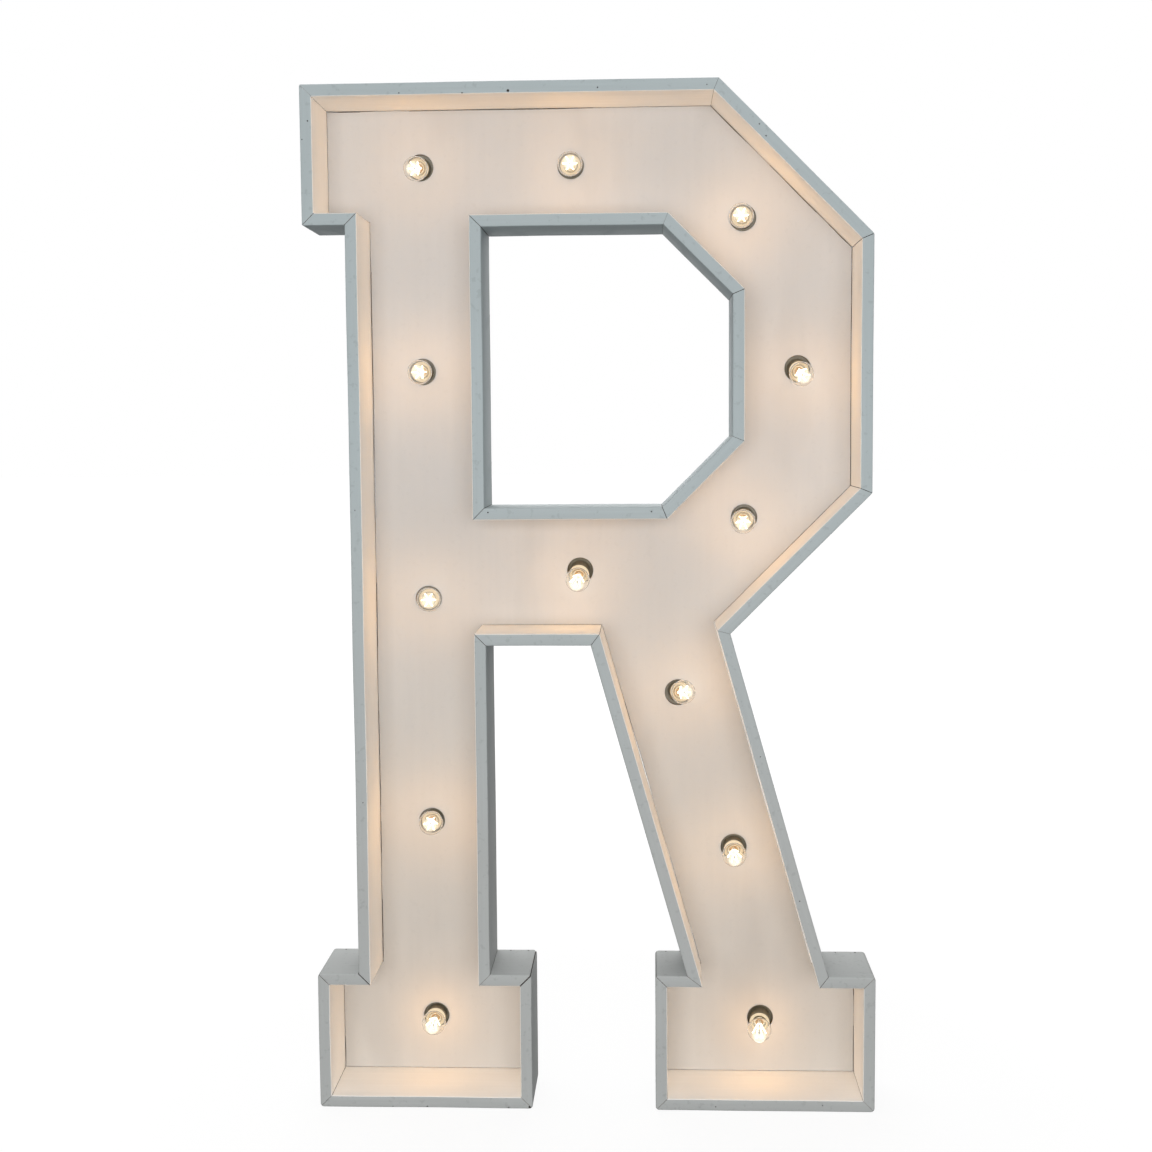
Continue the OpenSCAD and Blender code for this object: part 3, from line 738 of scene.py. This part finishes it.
def board_mesh(board):
    """Mesh of a board with eased edges, painted shade in the grooves of its mitres and a little
    unevenness.
    """
    eases = {0.0: mitre_ease(board.outer_start), 1.0: mitre_ease(board.outer_end)}
    shares = board_stations(board, eases)
    bm = bmesh.new()
    uv = bm.loops.layers.uv.new("UVMap")
    sections = [board_section(bm, board, share, eases.get(share, 0.0)) for share in shares]
    ring = board_ring(board, 0.0)
    girth = [0.0]
    for a, b in zip(ring, ring[1:] + ring[:1]):
        girth.append(girth[-1] + math.dist(a, b))
    finishes = [PAINTED] + [INSIDE] * ARC_STEPS + [BARE] * (ARC_STEPS + 1)
    finishes += [PAINTED] * (len(ring) - len(finishes))
    last = len(shares) - 2
    for k in range(last + 1):
        low, high = sections[k], sections[k + 1]
        for i in range(len(ring)):
            j = (i + 1) % len(ring)
            face = bm.faces.new([low[i], low[j], high[j], high[i]])
            # The eased faces at each mitre are painted dark, as shade in the joint's groove
            face.material_index = SHADE_AND_NAILS if k in (0, last) else finishes[i]
            spots = ((k, i), (k, i + 1), (k + 1, i + 1), (k + 1, i))
            for loop, (station, turn) in zip(face.loops, spots):
                loop[uv].uv = (shares[station] * board.length, girth[turn])
    for section in (sections[0], sections[-1]):
        bm.faces.new(section).material_index = BARE
    return to_mesh(board.node + "_look", bm, sharp=50.0)


def drill(piece, places):
    """Cuts small nail holes into a piece, each at a place along a direction, with a radius."""
    bm = bmesh.new()
    for place, inward, radius in places:
        profile = [(0, -NAIL_DEEP), (radius, -NAIL_DEEP), (radius, 0)]
        profile += [(0.5 * radius, NAIL_DEEP), (0, NAIL_DEEP)]
        lathe(bm, profile, NAIL_STEPS, aimed(place, inward), SHADE_AND_NAILS)
    cutter = new_object("nail_cutter", to_mesh("nail_cutter", bm))
    cut = piece.modifiers.new("nail_holes", "BOOLEAN")
    cut.object = cutter
    cut.solver = "EXACT"
    bpy.context.view_layer.update()
    shown = piece.evaluated_get(bpy.context.evaluated_depsgraph_get())
    piece.modifiers.clear()
    piece.data = bpy.data.meshes.new_from_object(shown)
    smooth(piece.data, sharp=40.0)
    bpy.data.objects.remove(cutter)


def nail_places(board):
    """Nails on a board's front edge, and along its outer face where they hold the panel."""
    places = []
    for along, across, radius in FRONT_NAILS.get(board.node, ()):
        flat = board.outer_start + (board.along * along - board.outward * across) * MM
        places.append((Vector((flat.x, board.front, flat.y)), Vector((0, 1, 0)), radius * MM))
    count = max(2, round(board.length / SIDE_NAIL_STEP))
    inward = Vector((-board.outward.x, 0, -board.outward.y))
    for i in range(count):
        scatter = SIDE_NAIL_SCATTER * math.sin(SCATTER_TURN * i + SCATTER_SEED * board.length)
        share = (i + 0.5 + scatter) / count
        places.append((board.point(0.0, PANEL_MID, share), inward, SIDE_NAIL_R))
    return places


def make_boards():
    """All the boards, each in place of its node."""
    boards = []
    panel = bmesh.new()
    panel.from_mesh(frame["nodes"]["back_panel"].data)
    panel_tree = BVHTree.FromBMesh(panel)
    panel.free()
    for node in sorted(n for n in frame["nodes"] if n.endswith("_board")):
        board = Board(node, panel_tree)
        piece = new_object(node + "_look", board_mesh(board), GREY, CREAM, WOOD, NAIL_AND_SHADE)
        drill(piece, nail_places(board))
        riding(piece, "letter", "frame_paint", node)
        LIT.objects.link(piece)
        boards.append(board)
    return boards


def outline_loops(mesh):
    """Closed front-view loops of the panel's front edges, lamp holes too, as lists of points."""
    bm = bmesh.new()
    bm.from_mesh(mesh)
    bmesh.ops.remove_doubles(bm, verts=bm.verts, dist=OUTLINE_WELD)
    front = {f for f in bm.faces if all(abs(v.co.y - PANEL_LOW.y) < SAME_DEPTH for v in f.verts)}
    links = {}
    for edge in bm.edges:
        if sum(f in front for f in edge.link_faces) == 1:
            for a, b in (edge.verts, reversed(edge.verts)):
                links.setdefault(a, []).append(b)
    loops = []
    while links:
        start = vert = next(iter(links))
        loop, before = [], None
        while vert in links:
            loop.append(Vector((vert.co.x, vert.co.z)))
            ahead = [v for v in links.pop(vert) if v is not before]
            before, vert = vert, ahead[0] if ahead else start
        loops.append(loop)
    bm.free()
    return loops


def cracked(boards, spot):
    """Whether the joint between the panel and a board is wider and painted dark as shade at a place."""
    for board in boards:
        near, share = intersect_point_line(spot, board.inner_start, board.inner_end)
        if board.node in CRACKS and 0 < share < 1 and (near - spot).length < CRACK_NEAR:
            limit = 2 * CRACK_NOISE * CRACKS[board.node] - CRACK_NOISE
            return flat_noise(spot, CRACK_PLANE, SAW_FINENESS) < limit
    return False


def sawn(loop, sign, boards):
    """A loop with points added along its straights and moved in by an uneven saw cut."""
    made = []
    for i, corner in enumerate(loop):
        nxt = loop[(i + 1) % len(loop)]
        steps = max(1, round((nxt - corner).length / SAW_STEP))
        along = (nxt - corner).normalized()
        side = Vector((-along.y, along.x)) * sign
        for k in range(steps):
            spot = corner.lerp(nxt, k / steps)
            cut = SAW_MEAN + SAW_SPREAD * flat_noise(spot, SAW_PLANE, SAW_FINENESS)
            gap = CRACK_GAP if cracked(boards, spot) else SAW_GAP
            made.append(spot + side * gap * min(1.0, max(0.0, cut)) if k else corner)
    return made


def signed_area(loop):
    """Area of a loop, negative where it runs clockwise."""
    return sum(a.x * b.y - a.y * b.x for a, b in zip(loop, loop[1:] + loop[:1])) / 2


def hole_ring(body, radius):
    """Points round a lamp's hole in the panel."""
    x, _, z = JOINTS[body]["pos_m"]
    turn = [2 * math.pi * i / HOLE_STEPS for i in range(HOLE_STEPS)]
    return [Vector((x + radius * math.cos(a), z + radius * math.sin(a))) for a in turn]


def panel_loops(mesh, boards):
    """Front view of the panel: its sawn outline, the opening in the bowl and the lamp holes."""
    bulbs = [body for body in JOINTS if body.startswith("bulb")]
    centre = JOINTS[bulbs[0]]["pos_m"]
    radius = min(math.hypot(v.co.x - centre[0], v.co.z - centre[2]) for v in mesh.vertices)
    least = HOLE_AREAS * math.pi * radius ** 2
    edges = [loop for loop in outline_loops(mesh) if abs(signed_area(loop)) > least]
    outer = max(edges, key=lambda loop: abs(signed_area(loop)))
    loops = []
    for loop in edges:
        sign = math.copysign(1, signed_area(loop)) * (1 if loop is outer else -1)
        loops.append(sawn(loop, sign, boards))
    return loops + [hole_ring(body, radius) for body in bulbs]


def make_panel(boards):
    """Drilled panel: painted front with eased edges, bare hardboard back and painted shade in its open
    joints.
    """
    loops = panel_loops(frame["nodes"]["back_panel"].data, boards)
    curve = bpy.data.curves.new("back_panel_look", "CURVE")
    curve.dimensions = "2D"
    curve.fill_mode = "BOTH"
    curve.extrude = (PANEL_HIGH.y - PANEL_LOW.y) / 2 - PANEL_EASE
    curve.bevel_depth = PANEL_EASE
    curve.bevel_resolution = 1
    curve.offset = -PANEL_EASE
    made = curve_mesh(curve, [[spot.to_3d() for spot in loop] for loop in loops], closed=True)
    made.transform(Matrix.Translation((0, PANEL_MID, 0)) @ Matrix.Rotation(math.radians(90), 4, "X"))
    piece = new_object("back_panel_look", made, PANEL, BOARD_BACK, NAIL_AND_SHADE)
    painted, bare, joint_shade = range(3)
    for face in made.polygons:
        face.material_index = painted if face.normal.y < -EDGE_FACING else bare
        # Faces of an open joint are painted dark, as shade in the gap
        if -FLAT_FACING < face.normal.y < EDGE_FACING and cracked(boards, face.center.xz):
            face.material_index = joint_shade
    riding(piece, "letter", "panel_paint", "back_panel")
    LIT.objects.link(piece)


def holder_mesh():
    """Lampholder: rim, mouth, brass sleeve, collar and clamp cap. Slots: plastic, brass, rim with
    painted light.
    """
    bm = bmesh.new()
    rim = arc(HOLDER_R - RIM_EASE, RIM_TOP - RIM_EASE, RIM_EASE, 0, 90, RIM_STEPS)
    mouth = arc(MOUTH_R + RIM_EASE, RIM_TOP - RIM_EASE, RIM_EASE, 90, 180, RIM_STEPS)
    collar = [(COLLAR_R - RIM_EASE, -COLLAR_T), (COLLAR_R, -COLLAR_T + RIM_EASE), (COLLAR_R, -RIM_EASE)]
    collar += [(COLLAR_R - RIM_EASE, 0), (HOLDER_R, 0)]
    clamp = [(0, CLAMP_END), (CLAMP_R - CLAMP_CHAMFER, CLAMP_END), (CLAMP_R, CLAMP_END + CLAMP_CHAMFER)]
    clamp += [(CLAMP_R, BARREL_END - RIM_EASE), (CLAMP_R - RIM_EASE, BARREL_END)]
    outside = clamp + [(HOLDER_R, BARREL_END), (HOLDER_R, -COLLAR_T)] + collar
    lathe(bm, outside + rim[:1], HOLDER_STEPS)
    lathe(bm, rim + mouth[:1], HOLDER_STEPS, index=2)
    lathe(bm, mouth + [(MOUTH_R, MOUTH_FLOOR), (BORE_R, MOUTH_FLOOR)], HOLDER_STEPS)
    turns = int((MOUTH_FLOOR - BORE_FLOOR) / THREAD_PITCH)
    sleeve = [(BORE_R, MOUTH_FLOOR)]
    for i in range(1, 2 * turns):
        sleeve.append((BORE_R + THREAD_DEEP * (i % 2), MOUTH_FLOOR - i * THREAD_PITCH / 2))
    lathe(bm, sleeve + [(BORE_R, BORE_FLOOR), (0, BORE_FLOOR)], HOLDER_STEPS, index=1)
    bmesh.ops.remove_doubles(bm, verts=bm.verts, dist=WELD)
    return to_mesh("lampholder", bm)


def glass_profile(skin):
    """Half outline of the glass, shrunk by a skin: neck, round body and drawn-out tip."""
    body, tip, neck = GLASS_R - skin, GLASS_TIP_R - skin, GLASS_NECK_R - skin
    tip_at = GLASS_TIP - GLASS_TIP_R
    shoulder = math.degrees(math.asin((body - tip) / (tip_at - GLASS_WIDE)))
    rise = GLASS_WIDE - RIM_TOP
    turn = math.degrees(math.acos(body / math.hypot(neck, rise)) + math.atan2(neck, rise))
    profile = [(neck, NECK_LOW), (neck, NECK_TOP), (neck + NECK_FLARE, RIM_TOP)]
    profile += arc(0, GLASS_WIDE, body, turn - 90, shoulder, BODY_STEPS)
    profile += arc(0, tip_at, tip, shoulder, 90, TIP_STEPS)[:-1]
    return profile + [(0, tip_at + tip)]


def glass_mesh():
    """Hollow glass with an inner and an outer skin, joined round the neck."""
    bm = bmesh.new()
    inner = glass_profile(GLASS_T)
    lathe(bm, inner[::-1] + glass_profile(0.0), GLASS_STEPS)
    return to_mesh("bulb_glass", bm, sharp=60.0)


def cap_mesh():
    """Screw cap: thread, insulator, contact and cement. Slots: brass, insulator, cement."""
    bm = bmesh.new()
    turns = int((CAP_TOP - CAP_LOW) / THREAD_PITCH) - 1
    shell = [(CAP_R, CAP_LOW)]
    for i in range(THREAD_STEPS * turns):
        wave = 0.5 - 0.5 * math.cos(2 * math.pi * i / THREAD_STEPS)
        height = CAP_LOW + THREAD_EASE + i * THREAD_PITCH / THREAD_STEPS
        shell.append((CAP_R - THREAD_DEEP * wave, height))
    shell += [(CAP_R - THREAD_DEEP, CAP_TOP - THREAD_EASE), (CAP_R - 1.2 * THREAD_DEEP, CAP_TOP)]
    lathe(bm, shell)
    lathe(bm, shell[-1:] + [(0, CAP_TOP)], index=2)
    lathe(bm, [(CAP_R, CAP_LOW), (INSULATOR_R, INSULATOR_LOW), (CONTACT_R, INSULATOR_LOW)], index=1)
    lathe(bm, [(CONTACT_R, INSULATOR_LOW), (CONTACT_R, CONTACT_LOW + CONTACT_DOME), (0, CONTACT_LOW)])
    bmesh.ops.remove_doubles(bm, verts=bm.verts, dist=WELD)
    return to_mesh("bulb_cap", bm)


def on_axis(height):
    """Point on the lamp's axis."""
    return Vector((0, 0, height))


def stem_mesh():
    """Bead, mast, button and support wires inside the glass. Slots: bead, steel, insulator."""
    bm = bmesh.new()
    bead = [(0, CAP_TOP), (BEAD_R, CAP_TOP), (BEAD_WAIST_R, BEAD_WAIST), (BEAD_R, BEAD_TOP)]
    bead += [(FLANGE_R, FLANGE_LOW), (FLANGE_R, FLANGE_TOP), (0, STEM_TOP)]
    lathe(bm, bead, BEAD_STEPS)
    rod(bm, on_axis(MAST_LOW), on_axis(CAGE_TOP), MAST_R, steps=10, index=1)
    rod(bm, on_axis(BUTTON_LOW), on_axis(BUTTON_TOP), BUTTON_R, steps=12, index=2)
    for tip in around(FILAMENTS, CAGE_TOP_R, HUB):
        rod(bm, on_axis(HUB), tip, WIRE_R, steps=6, index=1)
    return to_mesh("bulb_stem", bm)


def filament_mesh():
    """Splayed light filaments between the bead and the support wires."""
    bm = bmesh.new()
    lows = around(FILAMENTS, CAGE_LOW_R, STEM_TOP)
    for low, high in zip(lows, around(FILAMENTS, CAGE_TOP_R, CAGE_TOP)):
        rod(bm, low, high, FILAMENT_R, steps=8)
    return to_mesh("bulb_filaments", bm)


def lamp_frame(body):
    """Matrix that carries +Z on to the axis of a bulb's joint, from the seat of its lampholder."""
    joint = JOINTS[body]
    return aimed(joint["pos_m"], Vector(joint["axis"]))


def lamp_light(body):
    """Warm light in front of a bulb, evened out close to it, that falls on the boards and the panel."""
    data = bpy.data.lights.new(body + "_light", "POINT")
    data.energy = LAMP_POWER
    data.color = linear(LAMP_LIGHT)[:3]
    data.shadow_soft_size = LIGHT_R
    data.use_nodes = True
    nodes = data.node_tree.nodes
    falloff = nodes.new("ShaderNodeLightFalloff")
    falloff.inputs["Strength"].default_value = 1.0
    falloff.inputs["Smooth"].default_value = LAMP_REACH ** 2
    data.node_tree.links.new(falloff.outputs["Quadratic"], nodes["Emission"].inputs["Strength"])
    light = new_object(body + "_light", data)
    light.location = lamp_frame(body) @ on_axis(LIGHT_UP)
    light.light_linking.receiver_collection = LIT
    light.visible_camera = False
    light.visible_transmission = False
    light.visible_glossy = False


def make_lamps():
    """Every lampholder and bulb, on the axis of its joint."""
    holder = with_materials(holder_mesh(), HOLDER, BRASS_METAL, PAINTED_LIGHT_RIM)
    glass = with_materials(glass_mesh(), GLASS)
    cap = with_materials(cap_mesh(), BRASS_METAL, INSULATOR, CEMENT)
    stem = with_materials(stem_mesh(), BEAD, STEEL_METAL, INSULATOR)
    filaments = with_materials(filament_mesh(), GLOW)
    for k in range(1, len(CHAIN) + 1):
        body = f"bulb_{k}"
        at = lamp_frame(body)
        parts = (
            (f"lampholder_{k}", holder, "letter", "holder_plastic", "lampholders"),
            (f"{body}_envelope", glass, body, "bulb_glass", f"{body}_glass"),
            (f"{body}_cap", cap, body, "bulb_brass", f"{body}_base"),
            (f"{body}_stem", stem, body, "bulb_brass", f"{body}_base"),
            (f"{body}_filaments", filaments, body, "bulb_glass", f"{body}_base"),
        )
        for name, mesh, carrier, slot, node in parts:
            piece = new_object(name, mesh)
            piece.matrix_world = at
            riding(piece, carrier, slot, node)
            if carrier == body:
                piece.visible_shadow = False
        lamp_light(body)


def seat(number):
    """Where the collar of a lampholder sits on the panel."""
    return Vector(JOINTS[f"bulb_{number}"]["pos_m"])


def clamp_point(number):
    """Where the cable passes through a lampholder's clamp."""
    return seat(number) + CABLE_SEAT * Vector(JOINTS[f"bulb_{number}"]["axis"])


def clip_point(a, b):
    """Where the cable is clipped to the panel between two lamps."""
    spot = (seat(a) + seat(b)) / 2
    return Vector((spot.x, PANEL_HIGH.y + CABLE_R, spot.z))


def on_curve(a, b, c, d, t):
    """Point on the smooth curve through four route points."""
    return b + t / 2 * (c - a + t * (2 * a - 5 * b + 4 * c - d + t * (3 * (b - c) + d - a)))


def cable_route():
    """Points on the cable's way: out of the feed box, then every clamp with a clip between lamps."""
    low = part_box("feed_box")[0]
    outlet = Vector((low.x + EAR_W, PANEL_HIGH.y + OUTLET_UP, seat(CHAIN[0]).z))
    route = [outlet, outlet - Vector((2 * CABLE_R, 0, 0)), clamp_point(CHAIN[0])]
    for a, b in zip(CHAIN, CHAIN[1:]):
        route += [clip_point(a, b), clamp_point(b)]
    return route


def make_cable():
    """One cable on a smooth curve along its route."""
    route = cable_route()
    last = len(route) - 1
    line = []
    for i in range(last):
        knots = [route[max(i - 1, 0)], route[i], route[i + 1], route[min(i + 2, last)]]
        line += [on_curve(*knots, s / CABLE_STEPS) for s in range(CABLE_STEPS)]
    line.append(route[last])
    curve = bpy.data.curves.new("lamp_cable_look", "CURVE")
    curve.dimensions = "3D"
    curve.bevel_depth = CABLE_R
    curve.bevel_resolution = CABLE_ROUNDNESS
    curve.use_fill_caps = True
    piece = new_object("lamp_cable_look", curve_mesh(curve, [line], closed=False), CABLE)
    riding(piece, "letter", "cable_rubber", "lamp_cable")


def dress_node(node, material, ease):
    """A CAD node that keeps its shape gets eased edges and its material."""
    piece = frame["nodes"][node]
    piece.data.materials.clear()
    piece.data.materials.append(material)
    weld = piece.modifiers.new("weld", "WELD")
    weld.merge_threshold = WELD
    bevel = piece.modifiers.new("ease", "BEVEL")
    bevel.width = ease
    bevel.segments = 2
    bevel.limit_method = "ANGLE"
    bevel.angle_limit = math.radians(EASED_ANGLE)


def add_screw(bm, place, radius):
    """Screw or nail head on a surface behind the panel, facing +Y."""
    head = [(share * radius, height * radius) for share, height in SCREW_HEAD]
    at = Matrix.Translation(place) @ Matrix.Rotation(math.radians(-90), 4, "X")
    lathe(bm, head, SCREW_STEPS, at)


def make_fasteners():
    """Nails in the cable clips and screws in the feed box's ears."""
    bm = bmesh.new()
    for a, b in zip(CHAIN, CHAIN[1:]):
        run = seat(b) - seat(a)
        spot = clip_point(a, b)
        side = Vector((run.z, 0, -run.x)).normalized()
        place = Vector((spot.x, PANEL_HIGH.y + CLIP_TAB_T, spot.z)) + side * CLIP_NAIL_OUT
        add_screw(bm, place, CLIP_NAIL_R)
    low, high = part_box("feed_box")
    ear_z = low.z + (high.z - low.z) * EAR_HEIGHT
    for x in (low.x + EAR_W / 2, high.x - EAR_W / 2):
        add_screw(bm, (x, PANEL_HIGH.y + EAR_T, ear_z), BOX_SCREW_R)
    piece = new_object("clip_nails_and_box_screws", to_mesh("fasteners", bm), STEEL_METAL)
    riding(piece, "letter", "bulb_brass")


def make_stage():
    """Pale floor that looks white to the camera and keeps the object's shadow."""
    graph = Graph("floor", {
        "Base Color": FLOOR_GREY, "Roughness": FLOOR_ROUGHNESS, "Specular IOR Level": 0.0,
        "Emission Color": WHITE,
    })
    level = graph.remap(graph.length(graph.place()), FLOOR_FADE, FLOOR_LEVELS)
    glow = graph.add("Math", {0: seen_rays(graph.tree), 1: level}, operation="MULTIPLY").outputs[0]
    graph.set(graph.bsdf.inputs["Emission Strength"], glow)
    bm = bmesh.new()
    bmesh.ops.create_grid(bm, x_segments=1, y_segments=1, size=FLOOR_SIZE)
    floor = new_object("floor", to_mesh("floor", bm), graph.material)


def make_world():
    """White to the camera, soft even light on the object."""
    world = bpy.data.worlds.new("studio")
    bpy.context.scene.world = world
    world.use_nodes = True
    tree = world.node_tree
    level = tree.nodes.new("ShaderNodeMapRange")
    level.inputs["To Min"].default_value = WORLD_LEVEL
    level.inputs["To Max"].default_value = 1.0
    back = tree.nodes["Background"]
    back.inputs["Color"].default_value = WHITE
    tree.links.new(seen_rays(tree), level.inputs["Value"])
    tree.links.new(level.outputs["Result"], back.inputs["Strength"])


def area_light(name, place, target, size, energy):
    """Soft square light aimed at a target, hidden from the camera."""
    data = bpy.data.lights.new(name, "AREA")
    data.energy = energy
    data.size = size
    light = new_object(name, data)
    light.location = place
    light.rotation_euler = (Vector(target) - Vector(place)).to_track_quat("-Z", "Y").to_euler()
    light.visible_camera = False


def make_camera():
    """Camera at the photo's angle."""
    data = bpy.data.cameras.new("camera")
    data.lens = CAMERA_LENS
    data.sensor_width = SENSOR_WIDTH
    camera = new_object("camera", data)
    turn = Matrix.Rotation(math.radians(CAMERA_TURN), 4, "Z")
    tilt = Matrix.Rotation(math.radians(90 + CAMERA_TILT), 4, "X")
    roll = Matrix.Rotation(math.radians(CAMERA_ROLL), 4, "Z")
    camera.matrix_world = Matrix.Translation(CAMERA_AT) @ turn @ tilt @ roll
    bpy.context.scene.camera = camera


make_camera()
make_panel(make_boards())
make_lamps()
make_cable()
for kept in KEPT_NODES:
    dress_node(*kept)
make_fasteners()
make_stage()
make_world()
for studio_light in STUDIO_LIGHTS:
    area_light(*studio_light)
bpy.context.scene.view_settings.view_transform = "Standard"
